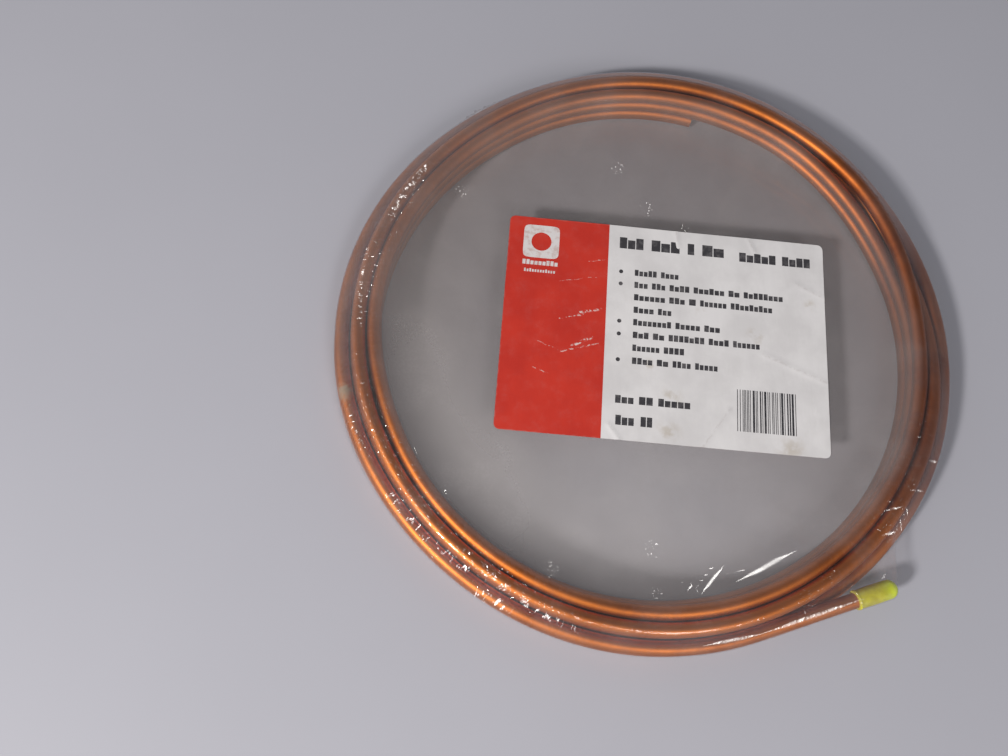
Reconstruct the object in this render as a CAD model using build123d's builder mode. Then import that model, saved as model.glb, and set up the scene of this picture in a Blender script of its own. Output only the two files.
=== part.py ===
from build123d import *
import os
from math import acos, atan2, cos, exp, hypot, pi, radians, sin, tan

# A coil of quarter inch soft copper tube in clear shrink film, lying flat.
# Millimetres, +Z up, the floor at z = 0 and the middle of the coil on the Z axis.
# The tube's outer end is at the lower right of a plan with +Y up, and the tube winds inward from it, clockwise.

# Tube
TUBE_OD = 6.35
TUBE_WALL = 0.762
TUBE_LENGTH = 6096.0

# Winding: columns are counted from the bore outward, levels from the floor up
COIL_OD = 274.5
TURN_GAP = 0.3
COLUMNS = 3
LEVELS = 3
POINTS_PER_TURN = 16
LEAD_OUT_ANGLE = -62.0
LEAD_OUT_RUN = 59.0
RUN_SHARE = 0.45
CROSSING_SPAN = 45.0
CROSSING_LEAD = 20.0
FIRST_CROSSING_ANGLE = -32.0

# How far the hand-tied bundle strays from true circles
LEAD_BULGE = 1.3
FLAT_SPOT = 2.2
FAR_SPREAD = 1.4
LEFT_BULGE = 0.6
LEAN = 1.0
INNER_SWING = 0.9
LOW_TURN_DROOP = 2.7

# Cap on the outer end
CAP_LENGTH = 19.0
CAP_WALL = 0.8
CAP_END = 2.0
CAP_FIT = 0.1

# Film
FILM_WALL = 0.3
FILM_CLEARANCE = 0.3
FILM_CENTRE_HEIGHT = 12.5
FILM_SLOPE = 35.0
FILM_DIP_RADIUS = 12.0
POCKET_FOOT = 2.0

# Label
LABEL_WIDTH = 146.0
LABEL_HEIGHT = 102.0
LABEL_THICKNESS = 0.2
LABEL_CORNER = 2.5
LABEL_CENTRE = (7.4, 0.5)
LABEL_TURN = 6.3

tube_radius = TUBE_OD / 2
turn_pitch = TUBE_OD + TURN_GAP
outer_turn_radius = COIL_OD / 2 - tube_radius
first_level = FILM_WALL + FILM_CLEARANCE + tube_radius


def near(angle, centre, width):
    """1 at one angle round the coil, falling smoothly to 0 away from it."""
    away = (angle - centre + 180) % 360 - 180
    return exp(-((away / width) ** 2))


def passed(travel, centre):
    """0 before a crossing and 1 after it, with a smooth step between."""
    share = min(max((travel - centre) / CROSSING_SPAN + 0.5, 0), 1)
    return share * share * (3 - 2 * share)


# Crossings from slot to slot, outermost first: (steps outward, steps up, place in the order round the coil).
# The tube comes in from the outer column, climbs the middle one and goes down the inner one.
CROSSINGS = [(0, -1, 0), (-1, 0, 1), (0, 1, 2), (0, 1, 2), (-1, 0, 3), (0, -1, 4), (0, -1, 4)]


def slot(travel):
    """Column and level of the tube after so many degrees of winding inward."""
    column, level = COLUMNS - 1, 1
    for turn, (outward, up, order) in enumerate(CROSSINGS):
        crossing_angle = FIRST_CROSSING_ANGLE + order * CROSSING_LEAD
        crossing_travel = (LEAD_OUT_ANGLE - crossing_angle) % 360 + 360 * turn
        share = passed(travel, crossing_travel)
        column += outward * share
        level += up * share
    return column, level


def centre_line(travel):
    """The tube's radius from the coil's axis and its height after so many degrees of winding."""
    column, level = slot(travel)
    angle = LEAD_OUT_ANGLE - travel
    radius = outer_turn_radius - (COLUMNS - 1 - column) * turn_pitch
    radius += LEAD_BULGE * near(angle, -80, 35) - FLAT_SPOT * near(angle, 135, 28)
    radius += FAR_SPREAD * near(angle, 72, 30) * (column - 1)
    inner_share = max(0, 1 - column)
    low_share = max(0, 1 - level)
    radius += (LEFT_BULGE + LEAN * (LEVELS - 1 - level)) * near(angle, 200, 25)
    radius -= INNER_SWING * near(angle, 208, 14) * inner_share
    radius -= LOW_TURN_DROOP * near(angle, -85, 50) * inner_share * low_share
    return radius, first_level + level * turn_pitch


def half_turns(points):
    """Half the angle that the route turns through at each corner."""
    runs = [end - start for start, end in zip(points, points[1:])]
    return [radians(before.get_angle(after) / 2) for before, after in zip(runs, runs[1:])]


def arc_radii(points):
    """The largest arc at each corner that the runs beside it have room for. An end run has one arc to itself."""
    rooms = [RUN_SHARE * (end - start).length for start, end in zip(points, points[1:])]
    rooms[0] *= 2
    rooms[-1] *= 2
    return [min(room) / tan(half) for *room, half in zip(rooms, rooms[1:], half_turns(points))]


def route_length(points):
    """Length of the straight runs and arcs through these points."""
    runs = sum((end - start).length for start, end in zip(points, points[1:]))
    saved = sum(2 * radius * (tan(half) - half) for radius, half in zip(arc_radii(points), half_turns(points)))
    return runs - saved


def on_centre_line(travel):
    """A point of the tube's centre line."""
    radius, height = centre_line(travel)
    angle = radians(LEAD_OUT_ANGLE - travel)
    return Vector(radius * cos(angle), radius * sin(angle), height)


def winding_route(step, corners):
    """The route's points, from the outer end inward: each run touches the centre line half a step past its corner."""
    points = [on_centre_line(0) + lead_out * LEAD_OUT_RUN]
    for index in range(corners):
        radius, height = centre_line((index + 0.5) * step)
        angle = radians(LEAD_OUT_ANGLE - (index + 0.5) * step)
        reach = radius / cos(radians(step / 2))
        points.append(Vector(reach * cos(angle), reach * sin(angle), height))
    return points + [on_centre_line(corners * step)]


# Route of the tube: the angle between its corners is worked out so that it uses up the tube's length
lead = radians(LEAD_OUT_ANGLE)
lead_out = Vector(-sin(lead), cos(lead), 0)
middle_radius = outer_turn_radius - (COLUMNS - 1) / 2 * turn_pitch
wound_length = TUBE_LENGTH - LEAD_OUT_RUN
corner_count = round(wound_length / (2 * pi * middle_radius) * POINTS_PER_TURN)
corner_step = 360 / POINTS_PER_TURN
for _ in range(6):
    route_points = winding_route(corner_step, corner_count)
    corner_step *= wound_length / (route_length(route_points) - LEAD_OUT_RUN)
outer_end = route_points[0]
corner_radii = arc_radii(route_points)
print("turns", round(corner_step * corner_count / 360, 3), "length", round(route_length(route_points), 2))
print("arc radii", round(min(corner_radii), 1), "to", round(max(corner_radii), 1))

# Copper tube: its outside and its bore are swept apart along one route, then closed with a flat ring at each end
with BuildLine() as route:
    FilletPolyline(*route_points, radius=corner_radii)
start_plane = Plane(origin=outer_end, z_dir=-lead_out)
with BuildPart() as tube_outside:
    with BuildSketch(start_plane):
        Circle(tube_radius)
    sweep(path=route.line)
with BuildPart() as tube_bore:
    with BuildSketch(start_plane):
        Circle(tube_radius - TUBE_WALL)
    sweep(path=route.line)
end_discs = tube_outside.faces().filter_by(GeomType.PLANE)
bore_discs = tube_bore.faces().filter_by(GeomType.PLANE)
walls = (tube_outside.faces() - end_discs) + (tube_bore.faces() - bore_discs)
end_rings = [
    Face(disc.outer_wire(), [bore_discs.sort_by_distance(disc.center())[0].outer_wire()])
    for disc in end_discs
]
with BuildPart() as copper_tube:
    add(Solid(Shell(walls + end_rings)))
copper_tube.part.label = "copper_tube"

# Cap: a soft dipped sleeve over the tube's outer end, closed by a dome
cap_bore_radius = tube_radius + CAP_FIT
cap_radius = cap_bore_radius + CAP_WALL
cap_tip = outer_end + lead_out * (CAP_FIT + CAP_END)
cap_plane = Plane(origin=cap_tip, x_dir=lead_out, z_dir=(0, 0, 1))
with BuildPart() as outer_end_cap:
    with BuildSketch(cap_plane):
        with BuildLine():
            dome = CenterArc((-cap_radius, 0), cap_radius, 0, 90)
            Polyline(
                dome @ 1,
                (-CAP_LENGTH, cap_radius),
                (-CAP_LENGTH, cap_bore_radius),
                (-CAP_END, cap_bore_radius),
                (-CAP_END, 0),
                dome @ 0,
            )
        make_face()
    revolve(axis=Axis(cap_tip, lead_out))
outer_end_cap.part.label = "outer_end_cap"

# Film: the skins keep one clearance from the bundle all round, and sink to a flat inside the bore.
# The section is drawn past the axis, so that the inner skin is an even offset of the outer one.
film_reach = tube_radius + FILM_CLEARANCE + FILM_WALL
top_height = first_level + (LEVELS - 1) * turn_pitch + film_reach
inner_turn_radius = outer_turn_radius - (COLUMNS - 1) * turn_pitch
middle_turn_radius = outer_turn_radius - turn_pitch + LEAD_BULGE
route_ease = (1 - 2 * RUN_SHARE) * outer_turn_radius * (1 / cos(radians(corner_step / 2)) - 1)
outward_stray = max(LEAD_BULGE, FAR_SPREAD, LEFT_BULGE + LEAN * (LEVELS - 1))
inward_stray = max(FLAT_SPOT, FAR_SPREAD, INNER_SWING)
film_radius = outer_turn_radius + outward_stray + route_ease + film_reach
slope = radians(FILM_SLOPE)
rim_inside = inner_turn_radius - inward_stray - film_reach * tan(slope / 2)
dip_corner = rim_inside - (top_height - FILM_CENTRE_HEIGHT) / tan(slope)
shoulder = film_reach * tan(radians(45 / 2))
past_axis = -film_radius / 4
with BuildSketch() as film_outline:
    with BuildLine():
        skin = FilletPolyline(
            (past_axis, FILM_CENTRE_HEIGHT),
            (dip_corner, FILM_CENTRE_HEIGHT),
            (rim_inside, top_height),
            (middle_turn_radius + shoulder, top_height),
            (film_radius, first_level + turn_pitch + shoulder),
            (film_radius, 0),
            (past_axis, 0),
            radius=[FILM_DIP_RADIUS, film_reach, film_reach, film_reach, film_reach],
        )
        Line(skin @ 1, skin @ 0)
    make_face()


# Pocket in the film, where it is drawn out over the cap. Its foot stands a little way out from the coil's wall.
film_over_cap = cap_radius + FILM_CLEARANCE + FILM_WALL
nose_centre = cap_tip - lead_out * cap_radius
nose_angle = atan2(nose_centre.Y, nose_centre.X)
nose_distance = hypot(nose_centre.X, nose_centre.Y)
foot_distance = film_radius - film_over_cap + POCKET_FOOT
pocket_top = nose_centre.Z + film_over_cap
pocket_underside = nose_centre.Z - film_over_cap


def pocket_plan(height, inset, distance):
    """Plan of the pocket: the film runs straight from the coil's outer wall to a round nose this far out."""
    wall_radius = film_radius - inset
    nose_radius = film_over_cap - inset
    spread = acos((wall_radius - nose_radius) / distance)
    nose = Vector(distance * cos(nose_angle), distance * sin(nose_angle))
    sides = [Vector(cos(nose_angle + turn), sin(nose_angle + turn)) for turn in (-spread, 0, spread)]
    with BuildSketch(Plane.XY.offset(height)) as plan:
        with BuildLine():
            tip = ThreePointArc(*[nose + side * nose_radius for side in sides])
            Polyline(tip @ 1, sides[2] * wall_radius, sides[0] * wall_radius, tip @ 0)
        make_face()
    return plan.sketch


def wrap_body(inset):
    """The wrapped coil as one solid, this far inside the film's outer skin."""
    top, underside = pocket_top - inset, pocket_underside + inset
    foot_plan = pocket_plan(inset, inset, foot_distance)
    cap_plan = pocket_plan(underside, inset, nose_distance)
    with BuildPart() as body:
        with BuildSketch(Plane.XZ) as section:
            add(film_outline.sketch)
            if inset:
                offset(amount=-inset, mode=Mode.REPLACE)
            split(bisect_by=Plane.YZ)
        revolve(axis=Axis.Z)
        extrude(cap_plan, amount=top - underside)
        loft([foot_plan.face(), cap_plan.face()], ruled=True)
    return body.part


film_outside = wrap_body(0)
film_inside = wrap_body(FILM_WALL)
with BuildPart() as shrink_film:
    add(film_outside)
    add(film_inside, mode=Mode.SUBTRACT)
shrink_film.part.label = "shrink_film"

# Label: a sticker on the flat of the film's upper skin
label_turn = radians(LABEL_TURN)
label_plane = Plane(
    origin=(*LABEL_CENTRE, FILM_CENTRE_HEIGHT),
    x_dir=(cos(label_turn), sin(label_turn), 0),
    z_dir=(0, 0, 1),
)
with BuildPart() as label:
    with BuildSketch(label_plane):
        RectangleRounded(LABEL_WIDTH, LABEL_HEIGHT, LABEL_CORNER)
    extrude(amount=LABEL_THICKNESS)
label.part.label = "label"

os.makedirs("parts", exist_ok=True)
export_step(copper_tube.part, "parts/copper_tube.step")
export_step(outer_end_cap.part, "parts/outer_end_cap.step")
export_step(shrink_film.part, "parts/shrink_film.step")
export_step(label.part, "parts/label.step")
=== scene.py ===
import math
import random

import bmesh
import bpy
import numpy as np
from mathutils import Matrix, Vector


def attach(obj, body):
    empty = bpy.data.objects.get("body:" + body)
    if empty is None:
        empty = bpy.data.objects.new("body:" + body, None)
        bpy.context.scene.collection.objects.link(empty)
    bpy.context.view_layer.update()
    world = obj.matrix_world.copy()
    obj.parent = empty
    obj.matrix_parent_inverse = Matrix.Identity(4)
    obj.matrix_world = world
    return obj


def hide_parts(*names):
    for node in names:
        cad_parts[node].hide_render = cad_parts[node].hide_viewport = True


# A coil of quarter inch soft copper tube in clear shrink film, with a label on the film and a cap on the
# tube's outer end.
# Metres, +Z up, the floor at z = 0 and the coil's axis on the Z axis.
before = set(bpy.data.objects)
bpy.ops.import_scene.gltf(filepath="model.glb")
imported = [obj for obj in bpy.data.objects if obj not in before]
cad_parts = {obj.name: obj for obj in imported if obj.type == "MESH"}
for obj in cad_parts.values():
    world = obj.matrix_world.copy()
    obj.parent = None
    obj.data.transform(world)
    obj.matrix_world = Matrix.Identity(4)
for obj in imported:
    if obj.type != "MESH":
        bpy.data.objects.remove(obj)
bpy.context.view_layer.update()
MM = 0.001

# Tube
TUBE_RADIUS = 3.175 * MM
TUBE_WALL = 0.762 * MM
TUBE_LENGTH = 6096 * MM
TUBE_SIDES = 24
TUBE_RINGS = 1500
BORE_RINGS = 500
VERDIGRIS_PLACE = Vector((-124.5, -55.0, 12.0)) * MM

# Winding, as in the part: columns are counted from the bore outward, levels from the floor up
COIL_RADIUS = 137.25 * MM
TURN_PITCH = 6.65 * MM
FIRST_LEVEL = 3.775 * MM
COLUMNS = 3
LEVELS = 3
LEAD_OUT_ANGLE = -62.0
LEAD_OUT_RUN = 59 * MM
CROSSING_SPAN = 45.0
CROSSING_LEAD = 20.0
FIRST_CROSSING_ANGLE = -32.0
# Each crossing, from the outer end inward: columns outward, levels up, and its place in the order round
# the coil
CROSSINGS = [(0, -1, 0), (-1, 0, 1), (0, 1, 2), (0, 1, 2), (-1, 0, 3), (0, -1, 4), (0, -1, 4)]
MOST_TURNS = 9
# How the loose turns swell, flatten, spread and lean
LEAD_BULGE = 1.3 * MM
FLAT_SPOT = 2.2 * MM
FAR_SPREAD = 1.4 * MM
LEFT_BULGE = 0.6 * MM
LEAN = 1.0 * MM
INNER_SWING = 0.9 * MM
LOW_TURN_DROOP = 2.7 * MM

# Cap: its solid nose reaches CAP_NOSE past the tube's end
CAP_LENGTH = 19 * MM
CAP_RADIUS = 4.05 * MM
CAP_NOSE = 2.1 * MM
CAP_CLEARANCE = 0.05 * MM
CAP_SIDES = 32

# Film: how far it stands off the tube's and the cap's middle, and the rows of its mesh
FILM_REACH = TUBE_RADIUS + 0.35 * MM
FILM_OVER_CAP = CAP_RADIUS + 0.4 * MM
FILM_STEPS = 840
# Inside the coil the film falls at this slope, in degrees, to a flat at this height
FILM_SLOPE = 35.0
FILM_FLAT = 12.44 * MM
FILM_UNDERSIDE = 0.04 * MM
FILM_SLOPES_TRIED = 160
COIL_INSIDE = 116 * MM
FILM_DISH_ROWS = 26
FILM_BEND_ROWS = 8
FILM_OVER_ROWS = 50
FILM_UNDER_ROWS = 6
FILM_BEND = 9 * MM
# Web: the film is drawn straight from the cap to the coil at this angle, where its foot is this high
WEB_FOOT_ANGLE = -31.5
WEB_EDGE = 1.2 * MM
WEB_FOOT_HEIGHT = 8 * MM
# Fins of slack film at the coil's edge: angle and half width in degrees, and depth
FINS = [(134, 9, 3.2 * MM), (46, 3, 2.0 * MM)]
FIN_HEIGHT = 7 * MM
FIN_EDGE = 0.4 * MM
LEAST_FIN = 0.2 * MM

# Label: places on it are from its middle, in its own plane
LABEL_WIDTH = 146 * MM
LABEL_HEIGHT = 102 * MM
LABEL_CORNER = 2.5 * MM
LABEL_CENTRE = Vector((7.4, 0.5)) * MM
LABEL_TURN = math.radians(6.3)
LABEL_BASE = 12.5 * MM
LABEL_THICKNESS = 0.2 * MM
LABEL_SLACK = 0.17 * MM
LABEL_CELL = 0.9 * MM
PANEL_SHARE = 0.315
PRINT_LIFT = 0.05 * MM

# The photograph's camera
CAMERA_ELEVATION = math.radians(71.44)
CAMERA_ROLL = math.radians(11.23)
CAMERA_TARGET = Vector((-59.2, -30.8, 0)) * MM
CAMERA_DISTANCE = 399 * MM
CAMERA_BACK = Vector((0, -math.cos(CAMERA_ELEVATION), math.sin(CAMERA_ELEVATION)))
IMAGE_WIDTH = 1008
FOCAL_PIXELS = 891
# Lamps: where they stand, in degrees and metres, and the floor's half width
KEY_AZIMUTH, KEY_ELEVATION = -131, 36
FRONT_RIGHT_AZIMUTH, FRONT_RIGHT_ELEVATION = -60, 45
LAMP_DISTANCE = 1.5
FLOOR_HALF = 4


# Directions and the coil's winding

def heading(azimuth, elevation):
    """The direction toward a place in the sky, given in degrees."""
    turn, lift = math.radians(azimuth), math.radians(elevation)
    return Vector((math.cos(turn) * math.cos(lift), math.sin(turn) * math.cos(lift), math.sin(lift)))


def near(angle, centre, width):
    """1 at one angle round the coil, falling smoothly to 0 away from it."""
    away = (angle - centre + 180) % 360 - 180
    return np.exp(-((away / width) ** 2))


def passed(travel, centre):
    """0 before a crossing and 1 after it, with a smooth step between."""
    share = np.clip((travel - centre) / CROSSING_SPAN + 0.5, 0, 1)
    return share * share * (3 - 2 * share)


def centre_line(travel):
    """The tube's radius from the coil's axis and its height after so many degrees of winding inward."""
    column = np.full_like(travel, COLUMNS - 1)
    level = np.ones_like(travel)
    for turn, (outward, up, order) in enumerate(CROSSINGS):
        crossing_angle = FIRST_CROSSING_ANGLE + order * CROSSING_LEAD
        share = passed(travel, (LEAD_OUT_ANGLE - crossing_angle) % 360 + 360 * turn)
        column = column + outward * share
        level = level + up * share
    angle = LEAD_OUT_ANGLE - travel
    radius = COIL_RADIUS - TUBE_RADIUS - (COLUMNS - 1 - column) * TURN_PITCH
    radius += LEAD_BULGE * near(angle, -80, 35) - FLAT_SPOT * near(angle, 135, 28)
    radius += FAR_SPREAD * near(angle, 72, 30) * (column - 1)
    inner_share = np.maximum(0, 1 - column)
    low_share = np.maximum(0, 1 - level)
    radius += (LEFT_BULGE + LEAN * (LEVELS - 1 - level)) * near(angle, 200, 25)
    radius -= INNER_SWING * near(angle, 208, 14) * inner_share
    radius -= LOW_TURN_DROOP * near(angle, -85, 50) * inner_share * low_share
    return radius, FIRST_LEVEL + level * TURN_PITCH


def wound_points(travel):
    """Points of the tube's centre line along the turns."""
    radius, height = centre_line(travel)
    angle = np.radians(LEAD_OUT_ANGLE - travel)
    return np.stack([radius * np.cos(angle), radius * np.sin(angle), height], -1)


def length_along(points):
    """Distance from the first point to each point, along the line through them."""
    runs = np.linalg.norm(np.diff(points, axis=0), axis=1)
    return np.concatenate([[0], np.cumsum(runs)])


lead = math.radians(LEAD_OUT_ANGLE)
lead_out = np.array([-math.sin(lead), math.cos(lead), 0])
travels = np.arange(0, 360 * MOST_TURNS, 1.0)
wound_lengths = length_along(wound_points(travels))
wound_travel = float(np.interp(TUBE_LENGTH - LEAD_OUT_RUN, wound_lengths, travels))
lead_start = wound_points(np.zeros(1))[0]
outer_end = lead_start + lead_out * LEAD_OUT_RUN


def tube_line(run):
    """The centre line's points at these distances from the outer end: a straight lead-out, then the turns."""
    travel = np.interp(run - LEAD_OUT_RUN, wound_lengths, travels)
    straight = np.maximum(LEAD_OUT_RUN - run, 0)
    return wound_points(travel) + straight[..., None] * lead_out


# Mesh helpers

def place_object(bm, name, smooth=True):
    """Turns a bmesh into an object at the origin."""
    mesh = bpy.data.meshes.new(name)
    bm.to_mesh(mesh)
    bm.free()
    mesh.polygons.foreach_set("use_smooth", [smooth] * len(mesh.polygons))
    piece = bpy.data.objects.new(name, mesh)
    bpy.context.scene.collection.objects.link(piece)
    return piece


def shaped_grid(columns, rows, place):
    """A grid whose vertices are moved by place(u, v), with u and v from 0 to 1 kept as its UV map."""
    grid = bmesh.new()
    bmesh.ops.create_grid(grid, x_segments=columns, y_segments=rows, size=1, calc_uvs=True)
    corners = np.array([vert.co[:2] for vert in grid.verts]) / 2 + 0.5
    for vert, spot in zip(grid.verts, place(corners[:, 0], corners[:, 1])):
        vert.co = spot
    return grid


def skin_round(line_points, radii, rings, sides):
    """A tube skin round a line: radii gives its radius along the line."""
    def place(u, v):
        middle = line_points(u)
        step = 0.2 / rings
        along = line_points(np.minimum(u + step, 1)) - line_points(np.maximum(u - step, 0))
        along /= np.linalg.norm(along, axis=1)[:, None]
        side = np.cross(along, [0, 0, 1.0])
        side /= np.linalg.norm(side, axis=1)[:, None]
        up = np.cross(side, along)
        turn = 2 * np.pi * v[:, None]
        return middle + radii(u)[:, None] * (np.cos(turn) * side + np.sin(turn) * up)
    return shaped_grid(rings, sides, place)


# Node helpers

class Shader:
    """A node tree that is written one node at a time."""

    def __init__(self, tree):
        self.tree = tree
        tree.nodes.clear()

    def add(self, kind, settings=None, **inputs):
        """A node with its settings and inputs: an input is a value or another node's output."""
        made = self.tree.nodes.new(kind)
        for name, value in (settings or {}).items():
            setattr(made, name, value)
        for name, value in inputs.items():
            socket = self.socket(made, name)
            if isinstance(value, bpy.types.NodeSocket):
                self.tree.links.new(value, socket)
            else:
                socket.default_value = value
        return made

    @staticmethod
    def socket(made, name):
        """An input by its name with underscores for spaces, or by its number after an i."""
        if name[0] == "i" and name[1:].isdigit():
            return made.inputs[int(name[1:])]
        return made.inputs[name.replace("_", " ")]

    def math(self, operation, first, second=0.0, clamp=False):
        """A Math node's output."""
        settings = {"operation": operation, "use_clamp": clamp}
        return self.add("ShaderNodeMath", settings, i0=first, i1=second).outputs[0]

    def ramp(self, factor, low, high, to_low=0.0, to_high=1.0):
        """The factor mapped from one range to another with a smooth step, clamped."""
        settings = {"interpolation_type": "SMOOTHSTEP", "clamp": True}
        made = self.add("ShaderNodeMapRange", settings, i0=factor, i1=low, i2=high, i3=to_low, i4=to_high)
        return made.outputs[0]

    def mix(self, factor, first, second, blend="MIX"):
        """A colour mix."""
        settings = {"data_type": "RGBA", "blend_type": blend, "clamp_factor": True}
        return self.add("ShaderNodeMix", settings, i0=factor, i6=first, i7=second).outputs[2]

    def noise(self, vector, scale, detail=4.0, roughness=0.55):
        """A noise value."""
        return self.add(
            "ShaderNodeTexNoise", Vector=vector, Scale=scale, Detail=detail, Roughness=roughness
        ).outputs[0]

    def colour_noise(self, vector, scale):
        """Three noise values as a vector."""
        return self.add("ShaderNodeTexNoise", Vector=vector, Scale=scale, Detail=2.0).outputs[1]

    def bump(self, height, distance, strength=1.0, normal=None):
        """A bumped normal."""
        inputs = {"Height": height, "Distance": distance, "Strength": strength}
        if normal is not None:
            inputs["Normal"] = normal
        return self.add("ShaderNodeBump", **inputs).outputs[0]

    def vector(self, operation, first, second):
        """A Vector Math node's vector."""
        return self.add("ShaderNodeVectorMath", {"operation": operation}, i0=first, i1=second).outputs[0]

    def dot(self, first, second):
        """The dot product of two vectors."""
        made = self.add("ShaderNodeVectorMath", {"operation": "DOT_PRODUCT"}, i0=first, i1=second)
        return made.outputs["Value"]

    def distance(self, first, second):
        """The distance between two places."""
        made = self.add("ShaderNodeVectorMath", {"operation": "DISTANCE"}, i0=first, i1=second)
        return made.outputs["Value"]

    def scaled(self, vector, scale):
        """A vector with each part scaled."""
        return self.vector("MULTIPLY", vector, scale)

    def split(self, vector):
        """A vector's three parts."""
        return self.add("ShaderNodeSeparateXYZ", Vector=vector).outputs

    def join(self, x, y, z):
        """A vector from its three parts."""
        return self.add("ShaderNodeCombineXYZ", X=x, Y=y, Z=z).outputs[0]

    def coordinates(self):
        """Object coordinates."""
        return self.add("ShaderNodeTexCoord").outputs["Object"]

    def mask(self, name):
        """A value kept on the piece's vertices."""
        return self.add("ShaderNodeAttribute", {"attribute_name": name}).outputs["Fac"]

    def uv(self):
        """The piece's own UV map."""
        return self.add("ShaderNodeTexCoord").outputs["UV"]


def new_material(name):
    """A material with an empty tree."""
    material = bpy.data.materials.new(name)
    material.use_nodes = True
    return material, Shader(material.node_tree)


def new_group(name, inputs, outputs):
    """A node group with named inputs and outputs: each name goes with a socket type and a first value."""
    tree = bpy.data.node_groups.new(name, "ShaderNodeTree")
    for label, (kind, value) in inputs.items():
        made = tree.interface.new_socket(label, in_out="INPUT", socket_type=kind)
        if value is not None:
            made.default_value = value
    for label, kind in outputs.items():
        tree.interface.new_socket(label, in_out="OUTPUT", socket_type=kind)
    shader = Shader(tree)
    return tree, shader, shader.add("NodeGroupInput").outputs, shader.add("NodeGroupOutput")


def give(piece, material):
    """A finished piece takes its material and its body."""
    piece.data.materials.clear()
    piece.data.materials.append(material)
    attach(piece, "root")


# Effects that more than one material uses

def make_dust_group():
    """Fine dust and specks."""
    tree, shader, given, out = new_group(
        "settled_dust",
        {"Scale": ("NodeSocketFloat", 60.0), "Amount": ("NodeSocketFloat", 0.3)},
        {"Mask": "NodeSocketFloat"},
    )
    spot = shader.coordinates()
    broad = shader.add("ShaderNodeTexNoise", Vector=spot, Scale=given["Scale"], Detail=5.0).outputs[0]
    fine = shader.noise(spot, 900, 3.0)
    mask = shader.math("MULTIPLY", shader.ramp(broad, 0.42, 0.7), shader.ramp(fine, 0.4, 0.65, 0.4, 1.0))
    mask = shader.math("MULTIPLY", mask, given["Amount"], clamp=True)
    shader.tree.links.new(mask, out.inputs["Mask"])
    return tree


def make_line_group():
    """A line mark, such as a crease or a scratch: 1 on the line between two places and 0 its width away."""
    tree, shader, given, out = new_group(
        "line_mark",
        {
            "Place": ("NodeSocketVector", None),
            "Start": ("NodeSocketVector", None),
            "End": ("NodeSocketVector", None),
            "Width": ("NodeSocketFloat", 0.001),
        },
        {"Mask": "NodeSocketFloat"},
    )
    run = shader.vector("SUBTRACT", given["End"], given["Start"])
    offset = shader.vector("SUBTRACT", given["Place"], given["Start"])
    along = shader.math("DIVIDE", shader.dot(offset, run), shader.dot(run, run), clamp=True)
    reached = shader.add("ShaderNodeVectorMath", {"operation": "SCALE"}, i0=run, Scale=along).outputs[0]
    away = shader.distance(offset, reached)
    mask = shader.ramp(shader.math("DIVIDE", away, given["Width"]), 0.0, 1.0, 1.0, 0.0)
    shader.tree.links.new(mask, out.inputs["Mask"])
    return tree


dust_group = make_dust_group()
line_group = make_line_group()


def dust(shader, scale, amount):
    """The dust group's mask in a material."""
    made = shader.add("ShaderNodeGroup", {"node_tree": dust_group}, Scale=scale, Amount=amount)
    return made.outputs["Mask"]


def line_mark(shader, place, start, end, width):
    """The line group's mask in a material: start and end are x and y in millimetres, and so is the width."""
    ends = {"Start": (start[0] * MM, start[1] * MM, 0), "End": (end[0] * MM, end[1] * MM, 0)}
    made = shader.add("ShaderNodeGroup", {"node_tree": line_group}, Place=place, Width=width * MM, **ends)
    return made.outputs["Mask"]


def line_marks(shader, place, lines):
    """The sum of several line marks, each with its ends, its width and its strength."""
    total = 0.0
    for start, end, width, strength in lines:
        mark = line_mark(shader, place, start, end, width)
        total = shader.math("ADD", total, shader.math("MULTIPLY", mark, strength))
    return total


# Copper tube

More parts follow.
